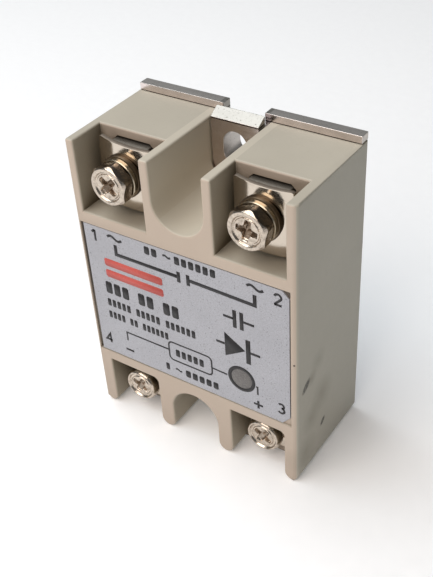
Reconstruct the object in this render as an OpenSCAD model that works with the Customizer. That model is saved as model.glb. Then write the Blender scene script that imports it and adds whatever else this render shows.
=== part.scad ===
// Panel-mount solid state relay: a moulded cover on a pressed metal base plate,
// with two power terminals at the top, two control terminals at the bottom, and
// the switching circuit potted between them. It stands on its lower end: +Z runs
// from the control end to the power end, and the label face looks along -Y.

/* [Housing] */
// Width of the moulded cover
cover_w = 45; // [42:0.5:50]
// Height of the moulded cover, along the relay's length
cover_h = 60; // [58:0.5:64]
// Depth of the moulded cover, from the label face to the base plate
cover_d = 21.2; // [20.8:0.1:23]
// Thickness of the outer walls
wall = 1.9; // [1.6:0.1:2.2]
// Radius of the upright outer edges at the front, as [left, right]
edge_r = [0.4, 1]; // [0.3:0.1:1.5]

/* [Base plate] */
// Thickness of the base plate
plate_t = 2.2; // [1.6:0.1:3]
// Height by which the plate stands above the cover at the power end
plate_over = 1.45; // [0.8:0.05:2]
// How far each mounting lug is pressed forward of the plate
lug_rise = 3.2; // [2.6:0.1:3.6]
// Distance between the centres of the two mounting slots
slot_pitch = 47.6; // [46.5:0.1:48.2]
// Width of a mounting slot
slot_w = 4.8; // [4.4:0.1:5]
// End-to-end length of a mounting slot
slot_len = 6.6; // [6:0.1:7]

/* [Terminals] */
// Distance from the middle to the centre of a power terminal
ac_x = 13.75; // [13.5:0.05:14]
// Height of the power terminal screws
ac_z = 53.2; // [53:0.05:53.3]
// Distance from the middle to the centre of a control terminal
dc_x = 14.05; // [13.9:0.05:14.2]
// Height of the control terminal screws
dc_z = 6.3; // [6.2:0.1:6.6]
// How far the power screw heads stand proud of the label face
ac_proud = 0.6; // [0.2:0.1:1]
// How far the control screw heads sit behind the label face, as [left, right]
dc_sunk = [1, 1.6]; // [0.4:0.1:1.8]

/* [Label] */
// Thickness of the label
label_t = 0.25; // [0.15:0.05:0.3]
// Diameter of the indicator window
window_d = 5; // [4.5:0.1:5.6]

/* [Hidden] */
$fn = 48;
// Small overlap that keeps cuts clean
cut = 0.1;
// Gap left between pieces that only lie against each other
gap = 0.05;

// Depths are measured back from the label face, which lies at y = 0 in the
// drawing frame; the whole relay is then centred on its overall depth.
total_d = ac_proud + cover_d + plate_t;
face_y = ac_proud - total_d / 2;

// Power end: pockets, and the notch over the upper mounting slot
ac_pocket_x = [[-20.8, -7.05], [7.05, 20.45]];
ac_floor_z = 46;
ac_back_y = 7.5;
// Front of the raised pad that a power bar lies against
ac_pad_y = 6.7;
notch_r = 5.2;
notch_z = 52.9;
// Control end: pockets, and the arch over the lower mounting slot
dc_pocket_w = 11.3;
dc_ceiling_z = 11.6;
dc_sill_y = 5.6;
dc_sill_z = 2.1;
dc_back_y = 6.7;
dc_corner_r = 1;
arch_r = 5.15;
arch_z = 5.9;
tip_r = 1.7;
back_edge_r = 0.4;
heel_y = 0.8;
heel_z = 2;
// Side walls that run back past the front of the base plate and hide its long edges
skirt_d = 2.1;
skirt_w = 1.2;

// Space for the circuit inside the cover
front_wall = 2;
cavity_z = [13.4, 44.4];
channel_wall = 1.6;
ac_block_y = 14.4;
dc_block_y = 12.8;

// Mounting slots and lugs
lug_w = 9.7;
lug_len = 14.2;
lug_web = 1.1;
lug_shear = 1.25;
// How far the webs at a lug's sides stop short of its free end
web_short = 2.6;
collar_wall = 0.9;
plate_z = [1.5, cover_h + plate_over];
slot_z = [55 - slot_pitch, 55];
lug_front_y = cover_d - lug_rise;

// Label panel
panel_x = [-21.7, 21.2];
panel_z = [13.9, 43.7];
panel_depth = 0.35;
// Groove along the left edge of the label panel
groove_w = 0.65;
groove_depth = 0.7;
window_x = 11.15;
window_z = 20.8;

// Screw sizes, as [power, control]
thread_r = [2, 1.5];
shank_r = [1.95, 1.45];
head_h = [2.5, 2];
shank_len = [10.5, 7.8];
spring_t = [1.1, 0.8];
spring_r = [3.8, 2.9];
washer_t = 0.8;
washer_r = 4;
clamp_t = [0.9, 0.7];
nut_af = [7, 5.5];
nut_h = [3.2, 2.4];
bar_t = 0.8;
bar_w = [7.8, 7];
ac_slot_z = [56.97, 58.3];
ac_bar_top = 57.95;
bar_bend = 0.3;
hex_head_af = 7;
pan_head_r = 3.5;

// Switching device, on its insulator against the base plate
ceramic_t = 0.65;
triac_t = 4.6;
triac_y = cover_d - 2 * gap - ceramic_t - triac_t;
triac_tab_t = 1.3;
triac_w = 15.6;
triac_z = [18, 38];
lead_y = triac_y + 1;
lead_t = 0.7;
lead_pitch = 5.45;
lead_end_z = 43.6;

// Circuit board
board_y = 9;
board_t = 1.6;
board_w = 39.2;
board_z = [14.6, 43.4];

function kind(t) = t <= 2 ? 0 : 1;
function side(t) = (t == 1 || t == 4) ? -1 : 1;
function term_x(t) = side(t) * (kind(t) == 0 ? ac_x : dc_x);
function term_z(t) = kind(t) == 0 ? ac_z : dc_z;
function head_y(t) = kind(t) == 0 ? -ac_proud : side(t) < 0 ? dc_sunk[0] : dc_sunk[1];
function seat_y(t) = head_y(t) + head_h[kind(t)];
function spring_y(t) = seat_y(t) + gap;
function clamp_y(t) = spring_y(t) + spring_t[kind(t)] + (kind(t) == 0 ? washer_t : 0);
function nut_y(t) = kind(t) == 0 ? ac_pad_y : dc_back_y;
function bar_y(t) = nut_y(t) - gap - bar_t;

module from_face() {
    translate([0, face_y, 0]) children();
}

// A box given by its low and high corners
module span(low, high) {
    translate(low) cube(high - low);
}

// A cylinder that runs back from the label face, along +Y
module back_cyl(r, h) {
    rotate([-90, 0, 0]) cylinder(r = r, h = h);
}

// Extrudes an outline drawn in X and Z backwards, along +Y
module back_extrude(depth) {
    translate([0, depth, 0]) rotate([90, 0, 0]) linear_extrude(depth) children();
}

// A hexagon across its flats, with flats at the top and bottom
module hexagon(flats) {
    circle(r = flats / sqrt(3), $fn = 6);
}

module at_terminal(t, y) {
    translate([term_x(t), y, term_z(t)]) children();
}

// Half of a rectangle seen from above, on side s, its front and back corners rounded
module half_plan(w, d, s, front_r, back_r) {
    middle = d / 2;
    for (corner = [[front_r, 0, front_r], [back_r, middle, d - back_r]]) {
        r = corner[0];
        start = corner[1];
        reach = w / 2 - r;
        translate([s > 0 ? 0 : -reach, start]) square([reach, middle]);
        translate([s > 0 ? 0 : -w / 2, max(start, r)]) square([w / 2, middle - r]);
        translate([s * reach, corner[2]]) circle(r);
    }
}

// Outline of a mounting slot, centred on the origin, long along Z
module slot_outline(w, len) {
    straight = len - w;
    translate([-w / 2, -straight / 2]) square([w, straight]);
    for (z = [-straight / 2, straight / 2]) translate([0, z]) circle(w / 2);
}

// ---------------------------------------------------------------- cover

module notch_outline() {
    translate([0, notch_z]) circle(notch_r);
    translate([-notch_r, notch_z]) square([2 * notch_r, cover_h]);
}

module arch_outline() {
    translate([0, arch_z]) circle(arch_r);
    translate([-arch_r, -cut]) square([2 * arch_r, arch_z + cut]);
}

// Opening of a control pocket, with its right-hand upper corner rounded
module dc_pocket_outline() {
    half = dc_pocket_w / 2;
    translate([-half, -cut]) square([dc_pocket_w - dc_corner_r, dc_ceiling_z + cut]);
    translate([-half, -cut]) square([dc_pocket_w, dc_ceiling_z - dc_corner_r + cut]);
    translate([half - dc_corner_r, dc_ceiling_z - dc_corner_r]) circle(dc_corner_r);
}

// Material removed to round one lower corner of a leg at x; dir points out of the leg
module tip_cut(x, dir, depth) {
    translate([x - dir * tip_r, -cut, tip_r]) difference() {
        translate([dir > 0 ? 0 : -tip_r - cut, 0, -tip_r - cut]) cube([tip_r + cut, depth, tip_r + cut]);
        translate([0, -cut, 0]) back_cyl(tip_r, depth + 2 * cut);
    }
}

module leg_tip_cuts() {
    through = cover_d + skirt_d + 3 * cut;
    for (s = [-1, 1]) {
        tip_cut(s * cover_w / 2, s, through);
        tip_cut(s * arch_r, -s, through);
        tip_cut(s * (dc_x - dc_pocket_w / 2), s, dc_sill_y + cut);
        tip_cut(s * (dc_x + dc_pocket_w / 2), -s, dc_sill_y + cut);
    }
}

// Slanted lower back corner, clear of the surface that the relay is screwed to
module heel_cut() {
    translate([-cover_w, cover_d + skirt_d, 0]) rotate([90, 0, 90]) linear_extrude(2 * cover_w)
        polygon([[-heel_y, -cut], [cut, -cut], [cut, heel_z], [0, heel_z], [-heel_y, 0]]);
}

// Room for the circuit, behind and between the terminal pockets
module cavity() {
    inner = cover_w / 2 - wall;
    back = cover_d + cut;
    span([-inner, front_wall, cavity_z[0]], [inner, back, cavity_z[1]]);
    for (s = [-1, 1]) {
        near = s > 0 ? notch_r + channel_wall : -inner;
        far = s > 0 ? inner : -notch_r - channel_wall;
        span([near, ac_block_y, cavity_z[1] - cut], [far, back, cover_h - wall]);
        span([near, dc_block_y, heel_z + 1], [far, back, cavity_z[0] + cut]);
    }
    // Room for the inner ends of the two lugs
    for (z = slot_z)
        span([-lug_w / 2 - 0.3, lug_front_y - 0.3, z - lug_len / 2 - 0.3],
             [lug_w / 2 + 0.3, back, z + lug_len / 2 + 0.3]);
}

// Opening through the pocket's back wall that a power terminal bar comes out of
module ac_bar_slot(t) {
    half = bar_w[0] / 2 + 0.35;
    low = ac_slot_z[0];
    high = ac_slot_z[1];
    bevel = 0.8;
    translate([term_x(t), ac_back_y - cut, 0]) back_extrude(ac_block_y - ac_back_y + 2 * cut)
        polygon([[-half, low], [half, low], [half, high - bevel], [half - bevel, high],
                 [bevel - half, high], [-half, high - bevel]]);
}

// Nut seat and blind hole for the end of the screw
module nut_seat(t) {
    k = kind(t);
    back = nut_y(t);
    at_terminal(t, back - cut) back_extrude(nut_h[k] + cut + gap) hexagon(nut_af[k] + 2 * gap);
    at_terminal(t, back) back_cyl(shank_r[k] + 0.35, (k == 0 ? ac_block_y : dc_block_y) - back - 0.6);
}

// Slot in the ceiling of a control pocket, where its bar goes up to the board
module dc_bar_slot(t) {
    half = bar_w[1] / 2 + 0.2;
    span([term_x(t) - half, bar_y(t) - 0.1, dc_ceiling_z - cut],
         [term_x(t) + half, dc_back_y, cavity_z[0] + cut]);
}

module pockets() {
    for (t = [1, 2]) {
        pad = bar_w[0] / 2 + 0.35;
        difference() {
            span([ac_pocket_x[t - 1][0], -cut, ac_floor_z],
                 [ac_pocket_x[t - 1][1], ac_back_y, cover_h + cut]);
            span([term_x(t) - pad, ac_pad_y, ac_floor_z - cut],
                 [term_x(t) + pad, ac_back_y + cut, ac_slot_z[0]]);
        }
        ac_bar_slot(t);
        nut_seat(t);
    }
    for (t = [3, 4]) {
        translate([term_x(t), -cut, 0]) back_extrude(dc_sill_y + cut) dc_pocket_outline();
        span([term_x(t) - dc_pocket_w / 2, dc_sill_y - cut, dc_sill_z],
             [term_x(t) + dc_pocket_w / 2, dc_back_y, dc_ceiling_z]);
        dc_bar_slot(t);
        nut_seat(t);
    }
}

module label_panel() {
    span([panel_x[0], -cut, panel_z[0]], [panel_x[1], panel_depth, panel_z[1]]);
    span([panel_x[0] - groove_w / 2, -cut, panel_z[0]],
         [panel_x[0] + groove_w / 2, groove_depth, panel_z[1]]);
    translate([window_x, -cut, window_z]) back_cyl(window_d / 2 + gap, front_wall + 2 * cut);
}

module housing() {
    color([0.69, 0.64, 0.58]) from_face() difference() {
        linear_extrude(cover_h) {
            half_plan(cover_w, cover_d + skirt_d, -1, edge_r[0], back_edge_r);
            half_plan(cover_w, cover_d + skirt_d, 1, edge_r[1], back_edge_r);
        }
        span([skirt_w - cover_w / 2, cover_d, -cut],
             [cover_w / 2 - skirt_w, cover_d + skirt_d + cut, cover_h + cut]);
        cavity();
        pockets();
        translate([0, -cut, 0]) back_extrude(cover_d + 2 * cut) notch_outline();
        translate([0, -cut, 0]) back_extrude(cover_d + 2 * cut) arch_outline();
        leg_tip_cuts();
        heel_cut();
        label_panel();
    }
}

// ---------------------------------------------------------------- base plate

// Plate outline: narrow between the cover's side walls, and full width above the cover
module plate_outline() {
    wide = cover_w / 2 - 0.1;
    narrow = cover_w / 2 - skirt_w - 2 * gap;
    step_z = cover_h + 2 * gap;
    corner = 1;
    polygon([[-narrow + corner, plate_z[0]], [narrow - corner, plate_z[0]], [narrow, plate_z[0] + corner],
             [narrow, step_z], [wide, step_z], [wide, plate_z[1]], [-wide, plate_z[1]], [-wide, step_z],
             [-narrow, step_z], [-narrow, plate_z[0] + corner]]);
}

// Opening in the plate around a lug, less wide at the lug's free end
module lug_opening(low, high, dir) {
    wide = lug_w / 2 + 0.15;
    narrow = wide - 0.8;
    span([-wide, cover_d - cut, dir > 0 ? low : low + web_short],
         [wide, cover_d + plate_t + cut, dir > 0 ? high - web_short : high]);
    span([-narrow, cover_d - cut, dir > 0 ? low : low - cut],
         [narrow, cover_d + plate_t + cut, dir > 0 ? high + cut : high]);
}

// One mounting lug around the slot at z; dir is the way its free end points
module lug(z, dir) {
    low = z - (dir > 0 ? lug_len / 2 : slot_z[0] - plate_z[0]);
    high = z + (dir > 0 ? plate_z[1] - slot_z[1] : lug_len / 2);
    half = lug_w / 2;
    end = dir > 0 ? high : low;
    other = dir > 0 ? low : high;
    // Pressed pad, whose sheared end leans back
    translate([-half, 0, 0]) rotate([90, 0, 90]) linear_extrude(lug_w)
        polygon([[lug_front_y, other], [lug_front_y, end - dir * lug_shear],
                 [lug_front_y + plate_t, end], [lug_front_y + plate_t, other]]);
    for (s = [-1, 1]) {
        inner = s > 0 ? half - lug_web : -half - 0.2;
        web_low = dir > 0 ? low : low + web_short;
        web_high = dir > 0 ? high - web_short : high;
        span([inner, lug_front_y + 0.6, web_low],
             [inner + lug_web + 0.2, cover_d + plate_t - 0.6, web_high]);
    }
    inner_end = dir > 0 ? low : high - lug_web;
    span([-half, lug_front_y, inner_end], [half, cover_d + plate_t - 0.6, inner_end + lug_web]);
    translate([0, lug_front_y, z]) back_extrude(cover_d + plate_t - lug_front_y)
        slot_outline(slot_w + 2 * collar_wall, slot_len + 2 * collar_wall);
}

module base_plate() {
    color([0.8, 0.78, 0.76]) from_face() difference() {
        union() {
            difference() {
                translate([0, cover_d, 0]) back_extrude(plate_t) plate_outline();
                lug_opening(slot_z[1] - lug_len / 2, plate_z[1], 1);
                lug_opening(plate_z[0], slot_z[0] + lug_len / 2, -1);
            }
            lug(slot_z[1], 1);
            lug(slot_z[0], -1);
        }
        for (z = slot_z) translate([0, lug_front_y - cut, z])
            back_extrude(cover_d + plate_t - lug_front_y + 2 * cut) slot_outline(slot_w, slot_len);
    }
}

// ---------------------------------------------------------------- label and indicator

module label() {
    inset = 0.2;
    left = panel_x[0] + groove_w / 2;
    right = panel_x[1] - inset;
    low = panel_z[0] + inset;
    high = panel_z[1] - inset;
    low_cut = [1.5, 1.8];
    high_cut = 1.3;
    color([0.75, 0.74, 0.76]) from_face() difference() {
        translate([0, panel_depth - label_t, 0]) back_extrude(label_t)
            polygon([[left, low], [right - low_cut.x, low], [right, low + low_cut.y],
                     [right, high - high_cut], [right - high_cut, high], [left, high]]);
        translate([window_x, 0, window_z]) back_cyl(window_d / 2 + gap, 1);
    }
}

// Clear plug that carries the lamp's light to the label face
module led_window() {
    color([0.6, 0.6, 0.58]) from_face() translate([window_x, 0.1, window_z]) {
        back_cyl(window_d / 2, front_wall);
        translate([0, front_wall - 0.1 + gap, 0]) back_cyl(window_d / 2 + 0.6, 0.5);
    }
}

module indicator_led() {
    lens_r = 1.5;
    color([0.75, 0.1, 0.1]) from_face() translate([window_x, 0, window_z]) {
        translate([0, 4.2, 0]) rotate([-90, 0, 0]) rotate_extrude()
            polygon([[0, 0], [0.75, 0.2], [1.3, 0.75], [lens_r, 1.5], [lens_r, 3.6], [1.9, 3.6],
                     [1.9, 4.4], [0, 4.4]]);
        for (x = [-1.27, 1.27]) translate([x, 8.4, 0]) back_cyl(0.25, board_y - 8.4 - gap);
    }
}

// ---------------------------------------------------------------- circuit

module circuit_board() {
    color([0.1, 0.35, 0.2]) from_face()
        span([-board_w / 2, board_y, board_z[0]], [board_w / 2, board_y + board_t, board_z[1]]);
}

// An axial component lying along X in front of the board, with two bent leads
module axial_part(x, z, body_len, body_r, lead_r) {
    y = board_y - body_r - 0.3;
    reach = body_len / 2 + 1.6;
    end = reach + lead_r;
    translate([x - body_len / 2, y, z]) rotate([0, 90, 0]) cylinder(r = body_r, h = body_len);
    translate([x - end, y, z]) rotate([0, 90, 0]) cylinder(r = lead_r, h = 2 * end);
    for (s = [-1, 1]) translate([x + s * reach, y, z]) back_cyl(0.8 * lead_r, board_y - y - gap);
}

module optocoupler() {
    low = [-3.2, board_y - 4.2, 32];
    size = [6.4, 3.4, 8.6];
    pitch = 2.54;
    color([0.12, 0.12, 0.12]) from_face() {
        translate(low) cube(size);
        for (i = [-1:1], s = [-1, 1]) {
            z = low.z + size.z / 2 + i * pitch;
            leg_x = s * (size.x / 2 + 0.4);
            span([leg_x - 0.45, low.y + 1.5, z - 0.6], [leg_x + 0.45, low.y + 1.8, z + 0.6]);
            span([leg_x - 0.15, low.y + 1.5, z - 0.3], [leg_x + 0.15, board_y - gap, z + 0.3]);
        }
    }
}

module input_transistor() {
    r = 2.3;
    color([0.15, 0.15, 0.15]) from_face() translate([-3, board_y - 5.6, 22]) {
        difference() {
            back_cyl(r, 4.4);
            translate([-r, -cut, -r - 1.4]) cube([2 * r, 5, r]);
        }
        for (x = [-1.27, 0, 1.27]) translate([x, 4.3, 0.3]) back_cyl(0.22, 1.3 - gap);
    }
}

module protection_diode() {
    color([0.2, 0.2, 0.22]) from_face() axial_part(-13, 19, 4.2, 1.1, 0.3);
}

module input_resistors() {
    color([0.75, 0.6, 0.4]) from_face() for (z = [23, 27]) axial_part(-13, z, 6.2, 1.2, 0.25);
}

module gate_resistors() {
    color([0.3, 0.45, 0.65]) from_face() for (z = [30.5, 34]) axial_part(12.5, z, 6.2, 1.2, 0.25);
}

module snubber_capacitor() {
    color([0.7, 0.25, 0.15]) from_face() {
        span([-18.5, board_y - 5.6, 36], [-6, board_y - 0.6, 42.2]);
        for (x = [-17.2, -7.3]) translate([x, board_y - 0.7, 39]) back_cyl(0.35, 0.7 - gap);
    }
}

module snubber_resistor() {
    color([0.85, 0.82, 0.75]) from_face() axial_part(12.5, 39.5, 9, 1.8, 0.35);
}

// Switching device: a moulded body on its metal tab, with three leads towards the power end
module power_triac() {
    half = triac_w / 2;
    tab_y = triac_y + triac_t - triac_tab_t;
    color([0.16, 0.16, 0.17]) from_face() {
        span([-half, triac_y, triac_z[0] + 1], [half, tab_y + cut, triac_z[1]]);
        span([-half, tab_y, triac_z[0]], [half, tab_y + triac_tab_t, triac_z[1]]);
        for (i = [-1:1]) {
            x = i * lead_pitch;
            span([x - 0.6, lead_y, triac_z[1] - cut], [x + 0.6, lead_y + lead_t, i == 0 ? 40.4 : lead_end_z]);
        }
    }
}

module ceramic_insulator() {
    color([0.93, 0.93, 0.9]) from_face()
        span([-11, cover_d - gap - ceramic_t, 16.5], [11, cover_d - gap, 40]);
}

// Wire from the middle lead of the switching device to the board
module gate_lead() {
    start = board_y + board_t + gap;
    color([0.75, 0.6, 0.2]) from_face() translate([0, start, 40])
        back_cyl(0.35, lead_y - gap - start);
}

// Resin poured over the circuit from behind, up to the underside of the board
module potting_resin() {
    inner = cover_w / 2 - wall - 0.1;
    front = board_y + board_t + 2 * gap;
    back = cover_d - 2 * gap;
    half = triac_w / 2;
    color([0.1, 0.1, 0.11]) from_face() difference() {
        span([-inner, front, board_z[0]], [inner, back, board_z[1]]);
        span([-half - gap, triac_y - gap, triac_z[0] - gap], [half + gap, back + cut, triac_z[1] + gap]);
        span([-11 - gap, cover_d - 2 * gap - ceramic_t, 16.4], [11 + gap, back + cut, 40.1]);
        // Tunnel for the leads and for the feet of the power bars
        span([-19, lead_y - bar_t - 3 * gap, triac_z[1]], [19, lead_y + lead_t + gap, board_z[1] + cut]);
        translate([0, front - cut, 40]) back_cyl(0.6, lead_y - front);
        for (z = slot_z)
            span([-lug_w / 2 - 0.5, lug_front_y - 0.5, z - lug_len / 2 - 0.5],
                 [lug_w / 2 + 0.5, back + cut, z + lug_len / 2 + 0.5]);
    }
}

// ---------------------------------------------------------------- terminals

// Power bar: up the front of the back wall, over it, and down behind to the triac
module ac_bar(t) {
    half = bar_w[0] / 2;
    front = bar_y(t);
    rear = lead_y - gap - bar_t;
    top = ac_bar_top;
    x = term_x(t);
    lead_x = side(t) * lead_pitch;
    foot = side(t) > 0 ? [lead_x - 1, x + half] : [x - half, lead_x + 1];
    difference() {
        union() {
            span([x - half, front, 48.2], [x + half, front + bar_t, top - bar_t - bar_bend]);
            translate([x - half, front + bar_t + bar_bend, top - bar_t - bar_bend])
                corner_bend(2 * half);
            span([x - half, front + bar_t + bar_bend, top - bar_t], [x + half, rear + bar_t, top]);
            span([x - half, rear, 41.5], [x + half, rear + bar_t, top]);
            span([foot[0], rear, 41.5], [foot[1], rear + bar_t, lead_end_z]);
        }
        at_terminal(t, front - cut) back_cyl(shank_r[0] + gap, bar_t + 2 * cut);
    }
}

// Quarter bend that joins a bar's upright to the stretch that runs back
module corner_bend(w) {
    rotate([90, 0, 90]) linear_extrude(w) intersection() {
        difference() {
            circle(bar_bend + bar_t);
            circle(bar_bend);
        }
        translate([-3, 0]) square(3);
    }
}

// Control bar: up the back of the pocket, through its ceiling, and back to the board
module dc_bar(t) {
    half = bar_w[1] / 2;
    front = bar_y(t);
    x = term_x(t);
    difference() {
        union() {
            span([x - half, front, dc_sill_z + 0.2], [x + half, front + bar_t, 16.4]);
            span([x - half, front, 15.6], [x + half, board_y - gap, 16.4]);
        }
        at_terminal(t, front - cut) back_cyl(shank_r[1] + gap, bar_t + 2 * cut);
    }
}

module terminal_bar(t) {
    color([0.8, 0.76, 0.7]) from_face() {
        if (kind(t) == 0) ac_bar(t);
        else dc_bar(t);
    }
}

module terminal_nut(t) {
    k = kind(t);
    color([0.75, 0.73, 0.7]) from_face() at_terminal(t, nut_y(t)) difference() {
        back_extrude(nut_h[k]) hexagon(nut_af[k]);
        translate([0, -cut, 0]) back_cyl(thread_r[k], nut_h[k] + 2 * cut);
    }
}

// Square clamp plate; on a power terminal its two side edges bend back and it hangs lower
module clamp_plate(t) {
    k = kind(t);
    half = k == 0 ? 5.5 : 3.6;
    rise = k == 0 ? 5.9 : 3.6;
    drop = k == 0 ? 6.4 : 3.6;
    turn = t == 1 ? 4 : t == 2 ? 1.5 : 0;
    bend = k == 0 ? 0.7 : 0;
    flat = k == 0 ? 3.4 : 2.4;
    thick = clamp_t[k];
    color([0.82, 0.79, 0.76]) from_face() at_terminal(t, clamp_y(t)) rotate([0, turn, 0]) difference() {
        translate([0, 0, -drop]) linear_extrude(rise + drop)
            polygon([[-flat, 0], [flat, 0], [half, bend], [half, bend + thick], [flat, thick],
                     [-flat, thick], [-half, bend + thick], [-half, bend]]);
        translate([0, -cut, 0]) back_cyl(shank_r[k] + 0.15, thick + 2 * cut);
    }
}

module flat_washer(t) {
    color([0.82, 0.79, 0.76]) from_face() at_terminal(t, clamp_y(t) - washer_t) difference() {
        back_cyl(washer_r, washer_t);
        translate([0, -cut, 0]) back_cyl(shank_r[0] + 0.15, washer_t + 2 * cut);
    }
}

module spring_washer(t) {
    k = kind(t);
    split = 0.5;
    color([0.7, 0.68, 0.66]) from_face() at_terminal(t, spring_y(t)) difference() {
        back_cyl(spring_r[k], spring_t[k]);
        translate([0, -cut, 0]) back_cyl(shank_r[k] + 0.15, spring_t[k] + 2 * cut);
        rotate([0, -35, 0]) translate([0, -1, -split / 2]) cube([2 * spring_r[k], 4, split]);
    }
}

// Cross recess, sunk into a head from the front
module cross_recess(arm, width, depth) {
    for (a = [0, 90]) rotate([0, a, 0]) translate([-arm, -cut, -width / 2])
        cube([2 * arm, depth + cut, width]);
}

// Hexagon head with a turned chamfer, a shallow dish and a cross recess
module hex_head(h) {
    corner = hex_head_af / sqrt(3);
    difference() {
        intersection() {
            rotate([0, -15, 0]) back_extrude(h) rotate(30) hexagon(hex_head_af);
            rotate([-90, 0, 0]) rotate_extrude()
                polygon([[0, 0], [3, 0], [corner + 0.05, 0.85], [corner + 0.05, h], [0, h]]);
        }
        translate([0, -cut, 0]) back_cyl(2.5, 0.35 + cut);
        rotate([0, 40, 0]) cross_recess(2.2, 0.9, 1.7);
    }
}

// Domed pan head with a cross recess
module pan_head(h) {
    difference() {
        rotate([-90, 0, 0]) rotate_extrude()
            polygon([[0, 0], [3, 0.05], [3.3, 0.25], [pan_head_r, 0.6], [pan_head_r, h], [0, h]]);
        rotate([0, 40, 0]) cross_recess(1.7, 0.8, 1.4);
    }
}

module terminal_screw(t) {
    k = kind(t);
    tip = 0.5;
    color([0.84, 0.81, 0.78]) from_face() at_terminal(t, head_y(t)) {
        if (k == 0) hex_head(head_h[k]);
        else pan_head(head_h[k]);
        translate([0, head_h[k] - cut, 0]) rotate([-90, 0, 0]) rotate_extrude()
            polygon([[0, 0], [shank_r[k], 0], [shank_r[k], shank_len[k] - tip],
                     [shank_r[k] - tip, shank_len[k]], [0, shank_len[k]]]);
    }
}

// ---------------------------------------------------------------- nodes

housing();
base_plate();
label();
led_window();
indicator_led();
circuit_board();
optocoupler();
input_transistor();
protection_diode();
input_resistors();
gate_resistors();
snubber_capacitor();
snubber_resistor();
power_triac();
ceramic_insulator();
gate_lead();
potting_resin();
for (t = [1:4]) {
    terminal_bar(t);
    terminal_nut(t);
    clamp_plate(t);
    spring_washer(t);
    terminal_screw(t);
}
for (t = [1, 2]) {
    flat_washer(t);
}
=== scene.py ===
"""Looks for the solid state relay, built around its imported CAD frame.

Everything stands in the frame's own axes: +Z runs up the relay to its power end, and the
label face looks along -Y. Sizes written here are millimetres, and MM turns them into metres.
"""
import math
from collections import namedtuple

import bmesh
import bpy
from mathutils import Matrix, Vector


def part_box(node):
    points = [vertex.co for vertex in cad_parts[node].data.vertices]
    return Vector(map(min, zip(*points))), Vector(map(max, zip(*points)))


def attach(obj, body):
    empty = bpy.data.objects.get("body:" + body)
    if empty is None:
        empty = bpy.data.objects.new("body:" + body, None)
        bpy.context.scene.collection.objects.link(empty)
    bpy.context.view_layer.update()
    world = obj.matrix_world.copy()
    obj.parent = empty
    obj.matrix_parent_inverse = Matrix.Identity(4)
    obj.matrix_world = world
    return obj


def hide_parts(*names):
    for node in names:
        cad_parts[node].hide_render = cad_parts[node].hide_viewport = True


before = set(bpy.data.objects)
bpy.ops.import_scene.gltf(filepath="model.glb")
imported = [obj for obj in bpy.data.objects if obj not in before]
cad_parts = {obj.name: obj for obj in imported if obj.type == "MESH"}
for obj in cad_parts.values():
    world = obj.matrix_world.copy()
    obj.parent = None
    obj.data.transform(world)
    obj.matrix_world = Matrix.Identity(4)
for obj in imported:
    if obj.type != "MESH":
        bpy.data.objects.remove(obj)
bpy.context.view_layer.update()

MM = 0.001
POWER = (1, 2)
CONTROL = (3, 4)
TERMINALS = POWER + CONTROL


# ---------- colours and node helpers


# Places of a Mix node's sockets for colours: the amount, the two colours, and the result
MIX_INPUTS = (0, 6, 7)
MIX_RESULT = 2
# A face looks along an axis when its normal has at least this much of it
FACING_LEAST = 0.75


def linear(value):
    """One sRGB channel, 0 to 255, as linear light."""
    v = value / 255
    return v / 12.92 if v <= 0.04045 else ((v + 0.055) / 1.055) ** 2.4


def rgb(red, green, blue):
    return (linear(red), linear(green), linear(blue), 1.0)


def box_mm(node):
    """A CAD node's lowest and highest corners, in millimetres."""
    return [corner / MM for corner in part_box(node)]


def centre(node):
    low, high = box_mm(node)
    return (low + high) / 2


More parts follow.
